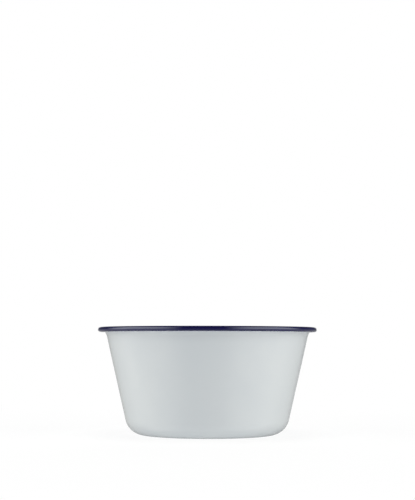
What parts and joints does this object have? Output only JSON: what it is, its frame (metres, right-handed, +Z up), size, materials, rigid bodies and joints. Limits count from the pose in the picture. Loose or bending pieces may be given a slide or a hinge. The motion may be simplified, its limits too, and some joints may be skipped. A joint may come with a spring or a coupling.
{
  "type": "enamel salad bowl",
  "caption": "Deep round salad bowl of enamelled steel with straight leaning walls, a soft base corner and a rolled rim, white with a blue edge, for mixing and serving food.",
  "frame": {"origin": "middle of the plane that the bowl stands on", "axes": "+Z up along the bowl's axis of symmetry, from the base to the rim; X and Y are alike, since the bowl is round"},
  "size_m": [0.24, 0.24, 0.118],
  "materials": {
    "steel": "dull deep-drawn sheet steel",
    "ground_coat": "dark fused ground-coat enamel",
    "white_enamel": "glossy fused white enamel",
    "blue_enamel": "glossy fused dark blue enamel"
  },
  "bodies": {
    "root": {"steel_shell": "steel", "inner_ground_coat": "ground_coat", "outer_ground_coat": "ground_coat", "inner_white_enamel": "white_enamel", "outer_white_enamel": "white_enamel", "blue_rim_enamel": "blue_enamel"}
  },
  "joints": []
}
